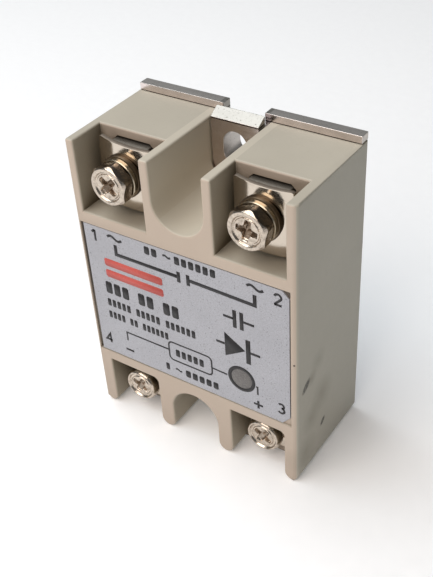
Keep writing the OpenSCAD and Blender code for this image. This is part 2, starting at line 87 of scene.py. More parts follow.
class Look:
    """A procedural material: a Principled shader and the nodes that feed it."""

    def __init__(self, name, **constants):
        self.material = bpy.data.materials.new(name)
        self.material.use_nodes = True
        self.tree = self.material.node_tree
        self.shader = self.tree.nodes["Principled BSDF"]
        for socket, value in constants.items():
            self.shader.inputs[socket.replace("_", " ")].default_value = value
        self.place = self.node("ShaderNodeTexCoord").outputs["Object"]

    def node(self, kind, inputs=(), **settings):
        """A new node with these settings, and with its inputs given by name or place."""
        made = self.tree.nodes.new(kind)
        for key, value in settings.items():
            setattr(made, key, value)
        for socket, value in dict(inputs).items():
            self.feed(made.inputs[socket], value)
        return made

    def feed(self, socket, value):
        """Gives an input a constant, or links it to another node's output."""
        if isinstance(value, (int, float, tuple)):
            socket.default_value = value
        else:
            self.tree.links.new(value, socket)

    def stretched(self, scale):
        """The object's coordinates, scaled along each axis."""
        return self.node("ShaderNodeMapping", {"Vector": self.place, "Scale": scale}).outputs["Vector"]

    def noise(self, per_mm, detail=2.0, roughness=0.5, place=None):
        """Noise with about per_mm features to the millimetre, from 0 to 1."""
        inputs = {"Vector": place or self.place, "Scale": per_mm / MM, "Detail": detail,
                  "Roughness": roughness}
        return self.node("ShaderNodeTexNoise", inputs).outputs["Fac"]

    def ramp(self, source, *stops):
        """Colours or grey values placed along source, as (position, value) stops."""
        made = self.node("ShaderNodeValToRGB", {"Fac": source})
        elements = made.color_ramp.elements
        for element, (position, value) in zip(elements, stops):
            element.position = position
            element.color = value if isinstance(value, tuple) else (value, value, value, 1.0)
        return made.outputs["Color"]

    def maths(self, operation, *values):
        inputs = dict(enumerate(values))
        return self.node("ShaderNodeMath", inputs, operation=operation).outputs["Value"]

    def times(self, first, second):
        return self.maths("MULTIPLY", first, second)

    def plus(self, first, second):
        return self.maths("ADD", first, second)

    def without(self, value):
        """What value leaves of 1."""
        return self.maths("SUBTRACT", 1.0, value)

    def within(self, value, middle_mm, spread_mm):
        """1 where a place along an axis is within spread_mm of middle_mm."""
        return self.maths("COMPARE", value, middle_mm * MM, spread_mm * MM)

    def above(self, value, least_mm):
        """1 where a place along an axis is beyond least_mm."""
        return self.maths("GREATER_THAN", value, least_mm * MM)

    def mix(self, amount, first, second):
        inputs = dict(zip(MIX_INPUTS, (amount, first, second)))
        return self.node("ShaderNodeMix", inputs, data_type="RGBA").outputs[MIX_RESULT]

    def colour(self, source):
        self.feed(self.shader.inputs["Base Color"], source)

    def ranged(self, value, start, end, first, last):
        """Goes from first to last as value goes from start to end."""
        inputs = {"Value": value, "From Min": start, "From Max": end, "To Min": first, "To Max": last}
        return self.node("ShaderNodeMapRange", inputs).outputs["Result"]

    def fade(self, value, full, none):
        """1 where value is at most full, falling to 0 where it reaches none."""
        return self.ranged(value, full, none, 1.0, 0.0)

    def rough(self, source, low, high):
        """Roughness that follows source between low and high."""
        self.feed(self.shader.inputs["Roughness"], self.ranged(source, 0.0, 1.0, low, high))

    def bump(self, height, depth_mm, strength):
        inputs = {"Height": height, "Distance": depth_mm * MM, "Strength": strength}
        self.feed(self.shader.inputs["Normal"], self.node("ShaderNodeBump", inputs).outputs["Normal"])

    def part(self, vector, letter):
        """The X, Y or Z of a vector."""
        return self.node("ShaderNodeSeparateXYZ", {"Vector": vector}).outputs[letter]

    def axis(self, letter):
        """The object's own X, Y or Z, in metres."""
        return self.part(self.place, letter)

    def off_middle(self):
        """Distance sideways from the relay's middle, in metres."""
        return self.maths("ABSOLUTE", self.axis("X"))

    def facing(self, letter):
        """1 on faces that look along an axis, either way, and 0 elsewhere."""
        normal = self.node("ShaderNodeNewGeometry").outputs["Normal"]
        return self.maths("GREATER_THAN", self.maths("ABSOLUTE", self.part(normal, letter)), FACING_LEAST)

    def openness(self, reach_mm):
        """1 on open faces, less in corners and pockets of the same object, where painted shade is laid.
        """
        inputs = {"Distance": reach_mm * MM}
        return self.node("ShaderNodeAmbientOcclusion", inputs, samples=8, only_local=True).outputs["AO"]

    def attribute(self, name):
        """A value painted on the mesh's points."""
        return self.node("ShaderNodeAttribute", attribute_name=name).outputs["Fac"]

    def streak(self, point_mm, length_mm, tilt, width_mm):
        """1 on a short line through a point of the right side, tilted back from upright."""
        inputs = {"Vector": self.place, "Location": tuple(v * MM for v in point_mm),
                  "Rotation": (math.radians(90 - tilt), 0, 0),
                  "Scale": (width_mm * MM, length_mm * MM, width_mm * MM)}
        mapped = self.node("ShaderNodeMapping", inputs, vector_type="TEXTURE").outputs["Vector"]
        distance = self.node("ShaderNodeVectorMath", {0: mapped}, operation="LENGTH")
        return self.fade(distance.outputs["Value"], 0.6, 1.1)

    def near(self, point_mm, reach_mm):
        """1 at a point of the object, falling to 0 at reach_mm from it."""
        inputs = {0: self.place, 1: tuple(v * MM for v in point_mm)}
        distance = self.node("ShaderNodeVectorMath", inputs, operation="DISTANCE")
        return self.fade(distance.outputs["Value"], 0.0, reach_mm * MM)


# ---------- the cover's plastic


# Marks on the right side of the cover: distance back from the label face and height, then a
# smudge's reach and strength, or a scuff's half length, tilt back from upright and half width
SMUDGES = ((5.0, 22.2, 1.9, 0.5), (7.3, 24.6, 2.8, 0.3), (9.0, 15.6, 4.4, 0.45), (5.2, 12.5, 3.6, 0.4),
           (3.0, 5.5, 4.5, 0.4))
SCUFFS = ((3.1, 21.8, 1.75, 52.0, 0.85), (9.4, 8.1, 1.15, 45.0, 0.62), (23.1, 40.5, 2.2, 0.0, 0.3))
# A dark speck on the front, as x and height, and its reach
SPECK = (21.9, 28.65)
SPECK_REACH = 0.4
# Height below which painted shade makes the front darker
LOW_SHADE_TOP = 18.0
# Half width beyond which a face that looks sideways is an outer side
OUTER_SIDE = 21.5
# Half width and lower end of the stretch of the cover that holds the notch
NOTCH_SIDE = 6.9
NOTCH_LOW = 45.0
# How far an open space reaches over a face before its pocket counts as open, for the painted shade
POCKET_REACH = 9.0
# Depths behind the label face that hold the bottoms of the label's recess and groove, where a shadow line
# is painted
RECESS_MIDDLE = 0.52
RECESS_SPREAD = 0.23
# Reach of the light that falls into the recess at the label's lower right corner
CORNER_REACH = 2.4


def cover_ground(look, forward):
    """Mottled beige, faintly grimy, with painted light and shade that differ on each way that the cover's
    faces look.
    """
    tone = look.ramp(look.noise(0.06, detail=3), (0.3, rgb(178, 171, 156)), (0.7, rgb(185, 178, 163)))
    grime = look.ramp(look.noise(0.9, detail=5, roughness=0.65), (0.6, 0.0), (0.8, 1.0))
    tone = look.mix(look.times(grime, 0.2), tone, rgb(140, 129, 112))
    # Faces that look forward are painted pinker, as warm painted light, and darker towards the low end,
    # as painted shade
    tone = look.mix(look.times(forward, 0.45), tone, rgb(199, 175, 159))
    low_shade = look.ramp(look.maths("DIVIDE", look.axis("Z"), LOW_SHADE_TOP * MM), (0.0, 0.25), (1.0, 0.0))
    tone = look.mix(look.times(forward, low_shade), tone, rgb(140, 122, 106))
    # The outer sides are painted greener and darker, as cool painted shade, and the side walls of the
    # pockets and notch browner and darker, as warm painted shade
    side = look.mix(look.above(look.off_middle(), OUTER_SIDE), rgb(150, 134, 106), rgb(150, 151, 140))
    return look.mix(look.times(look.facing("X"), 0.35), tone, side)


def cover_marks(look, tone):
    """Smudges and scuffs on the right side, and a speck on the front."""
    low, high = box_mm("housing")
    for back, up, reach, strength in SMUDGES:
        patch = look.near((high.x, low.y + back, up), reach)
        tone = look.mix(look.times(patch, strength), tone, rgb(112, 104, 84))
    broken = look.ramp(look.noise(2.4, detail=4), (0.3, 0.25), (0.5, 0.9))
    for back, up, length, tilt, width in SCUFFS:
        streak = look.streak((high.x, low.y + back, up), length, tilt, width)
        tone = look.mix(look.times(streak, broken), tone, rgb(48, 44, 36))
    speck = look.near((SPECK[0], low.y, SPECK[1]), SPECK_REACH)
    return look.mix(look.ramp(speck, (0.35, 0.0), (0.6, 0.9)), tone, rgb(48, 40, 34))


def cover_shade(look, tone, forward):
    """Painted shade in the pockets and the arch, less on faces that look up, and painted light that makes
    the notch paler.
    """
    middle = look.without(look.above(look.off_middle(), NOTCH_SIDE))
    notch = look.times(middle, look.above(look.axis("Z"), NOTCH_LOW))
    inside = look.times(notch, look.without(forward))
    # Painted light: the inner faces of the notch are made paler
    tone = look.mix(look.times(inside, 0.5), tone, rgb(206, 197, 180))
    # Painted shade: darker where the cover's own faces close round a pocket, less where they look up
    shade = look.ramp(look.openness(POCKET_REACH), (0.4, 1.0), (0.95, 0.0))
    spared = look.maths("MAXIMUM", notch, look.times(look.facing("Z"), 0.6))
    return look.mix(look.times(shade, look.without(spared)), tone, rgb(88, 75, 54))


def recess_shadow(look, tone, forward):
    """Painted shadow on the bottom of the label's recess and of the groove at its left, which shows as a
    dark line.
    """
    face = box_mm("housing")[0].y
    low, high = box_mm("label")
    bottom = look.within(look.axis("Y"), face + RECESS_MIDDLE, RECESS_SPREAD)
    corner = look.near((high.x, face, low.z), CORNER_REACH)
    unlit = look.without(look.ramp(corner, (0.15, 0.0), (0.3, 1.0)))
    shadow_line = look.times(look.times(bottom, forward), unlit)
    return look.mix(look.times(shadow_line, 0.85), tone, rgb(50, 42, 34))


def cover_plastic():
    """Beige moulded plastic, finely textured, with a few dark rub marks on the right side, and painted
    light and shade on its faces, pockets, notch and label recess.
    """
    look = Look("cover_plastic", Roughness=0.5, Specular_IOR_Level=0.4)
    forward = look.facing("Y")
    tone = cover_ground(look, forward)
    tone = cover_marks(look, tone)
    tone = cover_shade(look, tone, forward)
    look.colour(recess_shadow(look, tone, forward))
    look.rough(look.noise(0.8, detail=3), 0.42, 0.58)
    fine = look.noise(5.0)
    wavy = look.noise(0.35, detail=1)
    look.bump(look.plus(look.times(fine, 0.25), wavy), 0.02, 0.6)
    return look.material


# ---------- other materials


# Half width of the upper lug, and the height above which only its slanted end lies
LUG_SIDE = 5.0
LUG_END = 59.0
# The painted shadow line on the base plate just above the cover: its middle above the cover's top, and
# half height
SHADOW_LINE_RISE = 0.06
SHADOW_LINE_HALF = 0.13
# How much rougher the clamp plates' sheared edges are than their faces
SHEARED_ROUGHNESS = 0.42


def plated_metal(name, tint, dark, low, high, bump_mm=0.006, cloud_per_mm=0.5, sheared=None):
    """A plated skin that goes from tint to dark in clouds, its roughness from low to high.

    sheared is the colour of the edges that look up and down, where they are duller than the rest.
    """
    look = Look(name, Roughness=low, Metallic=1.0)
    cloud = look.noise(cloud_per_mm, detail=4, roughness=0.6)
    tone = look.mix(look.ramp(cloud, (0.55, 0.0), (0.85, 0.55)), rgb(*tint), rgb(*dark))
    lines = look.noise(2.5, detail=5, roughness=0.7)
    rough = look.ranged(lines, 0.0, 1.0, low, high)
    if sheared:
        edges = look.facing("Z")
        tone = look.mix(edges, tone, rgb(*sheared))
        rough = look.plus(rough, look.times(edges, SHEARED_ROUGHNESS))
    look.colour(tone)
    look.feed(look.shader.inputs["Roughness"], rough)
    look.bump(look.plus(look.times(lines, 0.5), cloud), bump_mm, 0.5)
    return look.material


def plate_metal():
    """Bright plated sheet: smooth rolled faces, rough sheared edges, a painted shadow line at the cover,
    and a lug end painted darker.
    """
    look = Look("plate_metal", Roughness=0.2, Metallic=1.0)
    rolled = look.facing("Y")
    cloud = look.noise(0.4, detail=4, roughness=0.6)
    skin = look.ramp(cloud, (0.35, rgb(226, 215, 212)), (0.8, rgb(205, 194, 190)))
    grit = look.noise(3.0, detail=4, roughness=0.75)
    torn = look.ramp(grit, (0.3, rgb(140, 134, 130)), (0.42, rgb(204, 198, 192)))
    # The upper lug's slanted end faces the light, and is painted darker than the plate's own edges, as
    # painted shade that tones down its highlight
    lug = look.without(look.above(look.off_middle(), LUG_SIDE))
    lug_end = look.times(lug, look.above(look.axis("Z"), LUG_END))
    wear_and_shade = look.ramp(grit, (0.34, rgb(96, 92, 86)), (0.42, rgb(163, 159, 152)))
    tone = look.mix(rolled, look.mix(lug_end, torn, wear_and_shade), skin)
    # Painted shadow: a dark line just above the cover's top
    shadow_line = look.within(look.axis("Z"), box_mm("housing")[1].z + SHADOW_LINE_RISE, SHADOW_LINE_HALF)
    look.colour(look.mix(look.times(shadow_line, 0.9), tone, rgb(52, 44, 38)))
    lines = look.noise(2.5, detail=5, roughness=0.7, place=look.stretched((0.06, 1.0, 1.0)))
    rough = look.plus(0.5, look.times(lines, 0.2))
    look.rough(look.maths("SUBTRACT", rough, look.times(rolled, 0.3)), 0.0, 0.75)
    look.bump(look.plus(look.times(lines, 0.4), look.times(grit, 0.3)), 0.02, 0.5)
    return look.material


def screw_metal():
    """Nickel, darker and browner in the cross recess, with a painted dark reflection on one flat of a
    hexagon.
    """
    look = Look("screw_nickel", Roughness=0.15, Metallic=1.0)
    cloud = look.noise(1.5, detail=4, roughness=0.65)
    tone = look.mix(look.ramp(cloud, (0.42, 0.0), (0.7, 0.6)), rgb(206, 194, 180), rgb(112, 98, 84))
    rough = look.noise(3.5, detail=4, roughness=0.7)
    darkened = look.times(look.attribute("grime"), look.ramp(rough, (0.3, 1.0), (0.62, 0.45)))
    tone = look.mix(darkened, tone, rgb(112, 90, 68))
    # Painted reflection: one flat of each power head is made nearly black
    look.colour(look.mix(look.times(look.attribute("dark_reflection"), 0.85), tone, rgb(44, 37, 31)))
    look.rough(look.plus(look.times(rough, 0.35), look.times(darkened, 0.6)), 0.06, 0.6)
    look.bump(look.plus(look.times(rough, 0.7), cloud), 0.06, 0.6)
    return look.material


def label_film():
    """Silver-grey printed film with the print's tiny dark specks."""
    look = Look("label_film", Roughness=0.45, Specular_IOR_Level=0.5)
    cloudy = look.noise(0.12, detail=4)
    tone = look.ramp(cloudy, (0.3, rgb(174, 176, 183)), (0.7, rgb(182, 184, 191)))
    screen = look.noise(4.5, detail=3, roughness=0.7)
    tone = look.mix(look.ramp(screen, (0.38, 0.6), (0.62, 0.0)), tone, rgb(146, 146, 152))
    specks = look.noise(3.6, detail=1, roughness=0.4)
    look.colour(look.mix(look.ramp(specks, (0.68, 0.0), (0.73, 0.6)), tone, rgb(84, 82, 88)))
    look.rough(screen, 0.38, 0.52)
    look.bump(screen, 0.006, 0.5)
    return look.material


def print_ink(name, colour, wear_and_shade):
    """Screen-printed ink, thinner in places."""
    look = Look(name, Roughness=0.5)
    patchy = look.noise(3.0, detail=4, roughness=0.6)
    look.colour(look.ramp(patchy, (0.3, rgb(*colour)), (0.75, rgb(*wear_and_shade))))
    look.rough(patchy, 0.42, 0.6)
    look.bump(patchy, 0.004, 0.5)
    return look.material


def window_plastic():
    """Smoky translucent plastic, finely speckled."""
    look = Look("window_plastic", Roughness=0.4, Transmission_Weight=0.08)
    grain = look.noise(3.6, detail=4, roughness=0.65)
    look.colour(look.ramp(grain, (0.35, rgb(90, 87, 86)), (0.65, rgb(120, 117, 115))))
    look.rough(grain, 0.3, 0.5)
    look.bump(grain, 0.01, 0.4)
    return look.material


def plain_moulding(name, dark, light, roughness=0.45, per_mm=2.0, depth_mm=0.01):
    """A moulded, dipped or lacquered skin with slight mottling."""
    look = Look(name, Roughness=roughness)
    mottled = look.noise(per_mm, detail=4, roughness=0.6)
    look.colour(look.ramp(mottled, (0.3, rgb(*dark)), (0.7, rgb(*light))))
    look.rough(mottled, roughness - 0.1, roughness + 0.1)
    look.bump(mottled, depth_mm, 0.6)
    return look.material


# Half the length of a resistor's body over which its bands are spread, and half a band's width
RESISTOR_HALF = 3.0
BAND_HALF = 0.35


def banded_resistor(name, dark, light, bands):
    """Lacquer with colour bands painted round the body, which lies along X."""
    look = Look(name, Roughness=0.35)
    mottled = look.noise(2.0, detail=3)
    tone = look.ramp(mottled, (0.3, rgb(*dark)), (0.7, rgb(*light)))
    for offset, band in bands:
        inside = look.within(look.axis("X"), centre(name).x + offset * RESISTOR_HALF, BAND_HALF)
        tone = look.mix(inside, tone, rgb(*band))
    look.colour(tone)
    look.bump(mottled, 0.01, 0.4)
    return look.material


def board_laminate():
    """Green solder mask over a faint pattern of copper tracks."""
    look = Look("board_laminate", Roughness=0.35)
    weave = look.noise(1.5, detail=3)
    turned = look.node("ShaderNodeMapping", {"Vector": look.place, "Rotation": (math.pi / 2, 0, 0)})
    inputs = {"Vector": turned.outputs["Vector"], "Scale": 0.22 / MM, "Mortar Size": 0.06}
    tracks = look.node("ShaderNodeTexBrick", inputs).outputs["Fac"]
    base = look.ramp(weave, (0.3, rgb(20, 92, 56)), (0.7, rgb(28, 108, 66)))
    look.colour(look.mix(tracks, base, rgb(46, 140, 84)))
    look.bump(tracks, 0.03, 0.4)
    return look.material


def floor_paper():
    """Plain white paper under the relay, faintly glowing so that its shadows stay pale."""
    look = Look("floor_paper", Roughness=0.85, Emission_Color=(1.0, 1.0, 1.0, 1.0), Emission_Strength=0.1)
    grain = look.noise(0.4, detail=3)
    look.colour(look.ramp(grain, (0.3, rgb(248, 248, 248)), (0.7, rgb(252, 252, 252))))
    return look.material


# ---------- mesh helpers


# Edges that turn by less than this, in degrees, are left alone when a mesh's edges are rounded
LEAST_TURN = 40
# Weight that keeps a large face evenly shaded right up to the rounded edges beside it
FACE_WEIGHT = 100


def in_scene(name, data):
    """A new object that shows this mesh, light or camera."""
    made = bpy.data.objects.new(name, data)
    bpy.context.scene.collection.objects.link(made)
    return made


def piece(name, mesh, look, body, replaced=(), smooth=30, flat_faces=False):
    """A finished piece: shaded, riding on its body and standing for the CAD nodes it replaces.

    Edges that turn by more than smooth degrees stay sharp. With flat_faces, large faces stay
    evenly shaded right up to the rounded edges beside them.
    """
    made = in_scene(name, mesh)
    mesh.name = name
    mesh.materials.clear()
    mesh.materials.append(look)
    mesh.shade_smooth()
    if smooth is not None:
        mesh.set_sharp_from_angle(angle=math.radians(smooth))
    if flat_faces:
        weighted = made.modifiers.new("flat_faces", "WEIGHTED_NORMAL")
        weighted.keep_sharp = True
        weighted.weight = FACE_WEIGHT
    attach(made, body)
    if replaced:
        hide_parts(*replaced)
    return made


def mesh_from(points, faces, place):
    """A mesh from points in millimetres moved to a place, with its normals facing out."""
    mesh = bpy.data.meshes.new("made")
    mesh.from_pydata([(Vector(p) + Vector(place)) * MM for p in points], [], faces)
    work = bmesh.new()
    work.from_mesh(mesh)
    bmesh.ops.remove_doubles(work, verts=work.verts, dist=1e-8)
    bmesh.ops.recalc_face_normals(work, faces=work.faces)
    work.to_mesh(mesh)
    work.free()
    return mesh


def round_edges(work, width, segments, keep=None):
    """Rounds a mesh's sharp edges. keep picks them, by the place of their middle in millimetres."""
    least = math.radians(LEAST_TURN)
    sharp = [e for e in work.edges if len(e.link_faces) == 2 and e.calc_face_angle(0) > least]
    if keep:
        sharp = [e for e in sharp if keep((e.verts[0].co + e.verts[1].co) / 2 / MM)]
    bmesh.ops.bevel(work, geom=sharp, offset=width * MM, offset_type="OFFSET", segments=segments,
                    profile=0.5, affect="EDGES", clamp_overlap=False)


def bevelled_copy(node, *passes):
    """A copy of a CAD node's mesh, its edges rounded in passes of (width, segments, keep)."""
    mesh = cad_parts[node].data.copy()
    work = bmesh.new()
    work.from_mesh(mesh)
    bmesh.ops.remove_doubles(work, verts=work.verts, dist=2e-7)
    bmesh.ops.dissolve_limit(work, angle_limit=math.radians(1), verts=work.verts, edges=work.edges)
    for one in passes:
        round_edges(work, *one)
    low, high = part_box(node)
    for v in work.verts:
        v.co = [min(max(v.co[i], low[i]), high[i]) for i in range(3)]
    bmesh.ops.triangulate(work, faces=[f for f in work.faces if len(f.verts) > 4])
    work.to_mesh(mesh)
    work.free()
    return mesh


def ring_faces(rows, steps):
    """Quads between neighbouring closed rows of steps points each."""
    faces = []
    for row in range(rows - 1):
        for step in range(steps):
            a = row * steps + step
            b = row * steps + (step + 1) % steps
            faces.append((a, b, b + steps, a + steps))
    return faces


def ring(radius, y, steps):
    """Points of a circle round the Y axis, whose radius is a number or a function of the angle."""
    points = []
    for step in range(steps):
        angle = 2 * math.pi * step / steps
        r = radius(angle) if callable(radius) else radius
        points.append((r * math.cos(angle), y, r * math.sin(angle)))
    return points


def joined(*parts):
    """Several (points, faces) pairs as one."""
    points = []
    faces = []
    for some_points, some_faces in parts:
        start = len(points)
        points.extend(some_points)
        faces.extend(tuple(i + start for i in face) for face in some_faces)
    return points, faces


def paint(mesh, name, values):
    """Writes one value on each point of a mesh, for a material to read."""
    attribute = mesh.attributes.new(name, "FLOAT", "POINT")
    for entry, value in zip(attribute.data, values):
        entry.value = value


def ease(low, high, value):
    """0 below low, 1 above high, and a smooth rise between them."""
    t = min(max((value - low) / (high - low), 0.0), 1.0)
    return t * t * (3 - 2 * t)


# ---------- terminals


# What differs between a power terminal and a control terminal. The clamp plate's rise and drop
# are how far it reaches above and below its screw.
Kind = namedtuple("Kind", "head_height shank pitch grime washer_hole half_x rise drop thick hole")
POWER_KIND = Kind(head_height=2.5, shank=1.95, pitch=0.7, grime=1.0, washer_hole=2.1,
                  half_x=5.5, rise=5.9, drop=6.4, thick=0.8, hole=2.1)
CONTROL_KIND = Kind(head_height=2.0, shank=1.45, pitch=0.5, grime=0.55, washer_hole=1.62,
                    half_x=3.6, rise=3.6, drop=3.6, thick=0.7, hole=1.6)
KINDS = {1: POWER_KIND, 2: POWER_KIND, 3: CONTROL_KIND, 4: CONTROL_KIND}

# How each terminal's pieces are turned, in degrees
HEX_TURN = {1: 18.0, 2: 19.0}
CROSS_TURN = {1: 46.0, 2: -11.0, 3: -33.0, 4: -25.0}
CLAMP_TURN = {1: 4.0, 2: 1.5, 3: 0.0, 4: 0.0}
WASHER_SPLIT = {1: 150.0, 2: 165.0, 3: 120.0, 4: 200.0}
# How dark the painted dark reflection on one flat of a power screw's head is
DARK_REFLECTION = {1: 0.75, 2: 1.0}

# Hexagon: size across flats, radius beyond which its corners are blunt, and its front chamfer's
# first radius and slope
HEX_FLATS = 7.0
HEX_CORNER = 3.82
HEX_FACE = 3.38
HEX_CHAMFER = 1.1
# Pan head: radius, and the width and fall of its rounded rim
PAN_RADIUS = 3.5
PAN_RIM = 0.5
PAN_FALL = 0.6
# How finely heads and shanks are made
HEAD_RINGS = 64
HEAD_STEPS = 144
SHANK_STEPS = 36
SHANK_ROWS_PER_TURN = 8
# Washers: steps round them; a split one's gap in degrees, the share of its thickness that it
# rises from end to end, and how far its edges are cut; and a flat one's hole
WASHER_STEPS = 96
WASHER_GAP = 9
WASHER_RISE = 0.16
WASHER_SOFT = 0.12
FLAT_WASHER_HOLE = 2.12
# Clamp plate: rows from hole to edge, steps round it, corner radius, softness of its edges, and
# the half width that stays flat and the power of the curve by which the sides sweep back
CLAMP_ROWS = 22
CLAMP_STEPS = 128
CLAMP_CORNER = 0.5
CLAMP_SOFT = 0.08
CLAMP_FLAT = 1.0
CLAMP_SWEEP = 1.6
# Widths of the rounded edges of bars and nuts
BAR_EDGE = 0.22
NUT_EDGE = 0.15


def hex_radius(turn_deg, angle):
    """Distance from the middle to a hexagon's side, its corners rounded off."""
    sector = math.radians(60)
    local = (angle - math.radians(turn_deg) + sector / 2) % sector - sector / 2
    side = HEX_FLATS / 2 / math.cos(sector / 2 - abs(local))
    return min(side, HEX_CORNER + 0.25 * (side - HEX_CORNER))


def cross_depth(x, z, turn_deg, arm, half_width, deep):
    """Depth of a cross recess: four tapering wings that slope down to the middle."""
    turn = math.radians(turn_deg)
    u = x * math.cos(turn) + z * math.sin(turn)
    v = -x * math.sin(turn) + z * math.cos(turn)
    depth = 0.0
    for along, off in ((abs(u), abs(v)), (abs(v), abs(u))):
        half = half_width * (1.15 - 0.35 * along / arm)
        inside = (1 - ease(half - 0.1, half + 0.06, off)) * (1 - ease(arm - 0.18, arm + 0.06, along))
        depth = max(depth, inside * deep * (1 - 0.72 * along / arm))
    middle = 1 - ease(half_width * 0.9, half_width * 1.9, math.hypot(u, v))
    return max(depth, middle * deep * 0.8)


def sunk_middle(r, dish, groove, inner, outer):
    """Depth of a head's sunk middle: dish deep, with a deeper groove round it.

    inner and outer are the two radii between which each wall of the groove slopes.
    """
    return (1 - ease(*outer, r)) * max(dish, groove * ease(*inner, r))


def hex_depth(t, x, z):
    """How far a point of a power screw's head lies behind its front."""
    r = math.hypot(x, z)
    chamfer = max(0.0, r - HEX_FACE) * HEX_CHAMFER
    middle = sunk_middle(r, 0.16, 0.34, (2.2, 2.4), (2.55, 2.85))
    return chamfer + middle + cross_depth(x, z, CROSS_TURN[t], 1.98, 0.62, 1.4)


def pan_depth(t, x, z):
    """How far a point of a control screw's head lies behind its front."""
    r = math.hypot(x, z)
    rim = PAN_FALL * (max(0.0, r - PAN_RADIUS + PAN_RIM) / PAN_RIM) ** 2
    middle = sunk_middle(r, 0.22, 0.4, (2.0, 2.3), (2.6, 2.95))
    return rim + middle + cross_depth(x, z, CROSS_TURN[t], 1.9, 0.58, 1.2)


def head_outline(t, angle):
    return hex_radius(HEX_TURN[t], angle) if t in POWER else PAN_RADIUS


def screw_head(t, height):
    """A head as a fine polar grid set back by its depth, with a straight side behind it."""
    depth = hex_depth if t in POWER else pan_depth
    points = []
    for row in range(HEAD_RINGS + 1):
        share = max(row / HEAD_RINGS, 0.004)
        for x, _, z in ring(lambda a: head_outline(t, a) * share, 0.0, HEAD_STEPS):
            points.append((x, depth(t, x, z), z))
    back = ((0.0, height - 0.25), (0.1, height - 0.06), (0.3, height), (1.6, height))
    for inset, y in back:
        points.extend(ring(lambda a: head_outline(t, a) - inset, y, HEAD_STEPS))
    faces = ring_faces(HEAD_RINGS + 1 + len(back), HEAD_STEPS)
    faces.append(tuple(range(HEAD_STEPS)))
    return points, faces


def threaded_shank(radius, start, end, pitch):
    """A shank with a helical thread cut into it, its tip chamfered."""
    cut = 0.55 * pitch
    rows = int((end - start) / (pitch / SHANK_ROWS_PER_TURN))
    points = []
    for row in range(rows + 1):
        y = start + (end - start) * row / rows
        tip = max(0.0, y - (end - 0.5))
        for step in range(SHANK_STEPS):
            turn = step / SHANK_STEPS
            phase = (y / pitch - turn) % 1.0
            groove = cut * max(0.0, 1 - 2.4 * abs(phase - 0.5)) * ease(start, start + pitch, y)
            r = max(radius - groove - tip, 0.4)
            points.append((r * math.cos(2 * math.pi * turn), y, r * math.sin(2 * math.pi * turn)))
    faces = ring_faces(rows + 1, SHANK_STEPS)
    last = rows * SHANK_STEPS
    faces.append(tuple(range(last, last + SHANK_STEPS)))
    return points, faces


def head_darkening(p, side_end):
    """Darkening at a point of a screw: strong in the cross recess, weak on the sides of the head."""
    if p.y > side_end:
        return 0.0
    if math.hypot(p.x, p.z) < 2.5:
        return ease(0.55, 0.8, p.y)
    return 0.4 * ease(0.5, 0.9, p.y)


def head_dark_reflection(t, p, side_end):
    """Painted dark reflection at a point of a power screw: on the one flat of its head that looks up and
    right.
    """
    angle = math.atan2(p.z, p.x)
    off_middle = abs(math.degrees(angle) - HEX_TURN[t] - 30)
    on_side = math.hypot(p.x, p.z) > 0.99 * hex_radius(HEX_TURN[t], angle)
    if p.y > side_end or not on_side:
        return 0.0
    return DARK_REFLECTION[t] * (1 - ease(25, 30, off_middle)) * (1 - 0.4 * p.y / KINDS[t].head_height)


def round_node(node):
    """A round CAD node's radius, its length along the screw and the middle of its front."""
    low, high = box_mm(node)
    middle = centre(node)
    return (high.x - low.x) / 2, high.y - low.y, Vector((middle.x, low.y, middle.z))


def terminal_screw(t, look):
    node = f"terminal_screw_{t}"
    _, length, front = round_node(node)
    height = KINDS[t].head_height
    side_end = height - 0.1
    head = screw_head(t, height)
    shank = threaded_shank(KINDS[t].shank, side_end, length, KINDS[t].pitch)
    mesh = mesh_from(*joined(head, shank), front)
    places = [v.co / MM - front for v in mesh.vertices]
    paint(mesh, "grime", [KINDS[t].grime * head_darkening(p, side_end) for p in places])
    paint(mesh, "dark_reflection", [head_dark_reflection(t, p, side_end) if t in POWER else 0.0 for p in places])
    piece(f"screw_{t}", mesh, look, f"screw_{t}", [node], smooth=38)


def spring_washer(t, look):
    """A split ring whose two ends stand a little apart along the screw."""
    node = f"spring_washer_{t}"
    outer, thick, front = round_node(node)
    inner = KINDS[t].washer_hole
    rise = WASHER_RISE * thick
    body = thick - rise
    gap = math.radians(WASHER_GAP)
    soft = WASHER_SOFT
    section = [(inner + soft, 0), (outer - soft, 0), (outer, soft), (outer, body - soft),
               (outer - soft, body), (inner + soft, body), (inner, body - soft), (inner, soft)]
    points = []
    for step in range(WASHER_STEPS + 1):
        share = step / WASHER_STEPS
        angle = math.radians(WASHER_SPLIT[t]) + gap / 2 + (2 * math.pi - gap) * share
        for radius, y in section:
            points.append((radius * math.cos(angle), y + rise * share, radius * math.sin(angle)))
    sides = len(section)
    last = WASHER_STEPS * sides
    faces = ring_faces(WASHER_STEPS + 1, sides)
    faces += [tuple(range(sides)), tuple(range(last, last + sides))]
    mesh = mesh_from(points, faces, front)
    piece(f"lock_washer_{t}", mesh, look, f"clamp_{t}", [node])


def flat_washer(t, look):
    """A pressed washer: rounded on the punch side and sharp on the other."""
    node = f"flat_washer_{t}"
    outer, thick, front = round_node(node)
    inner = FLAT_WASHER_HOLE
    profile = [(inner, 0.15), (inner + 0.12, 0), (outer - 0.25, 0), (outer - 0.07, 0.08), (outer, 0.25),
               (outer, thick - 0.05), (outer - 0.05, thick), (inner + 0.05, thick), (inner, thick - 0.05),
               (inner, 0.15)]
    points = [p for radius, y in profile for p in ring(radius, y, WASHER_STEPS)]
    faces = ring_faces(len(profile), WASHER_STEPS)
    mesh = mesh_from(points, faces, front)
    piece(f"plain_washer_{t}", mesh, look, f"clamp_{t}", [node])


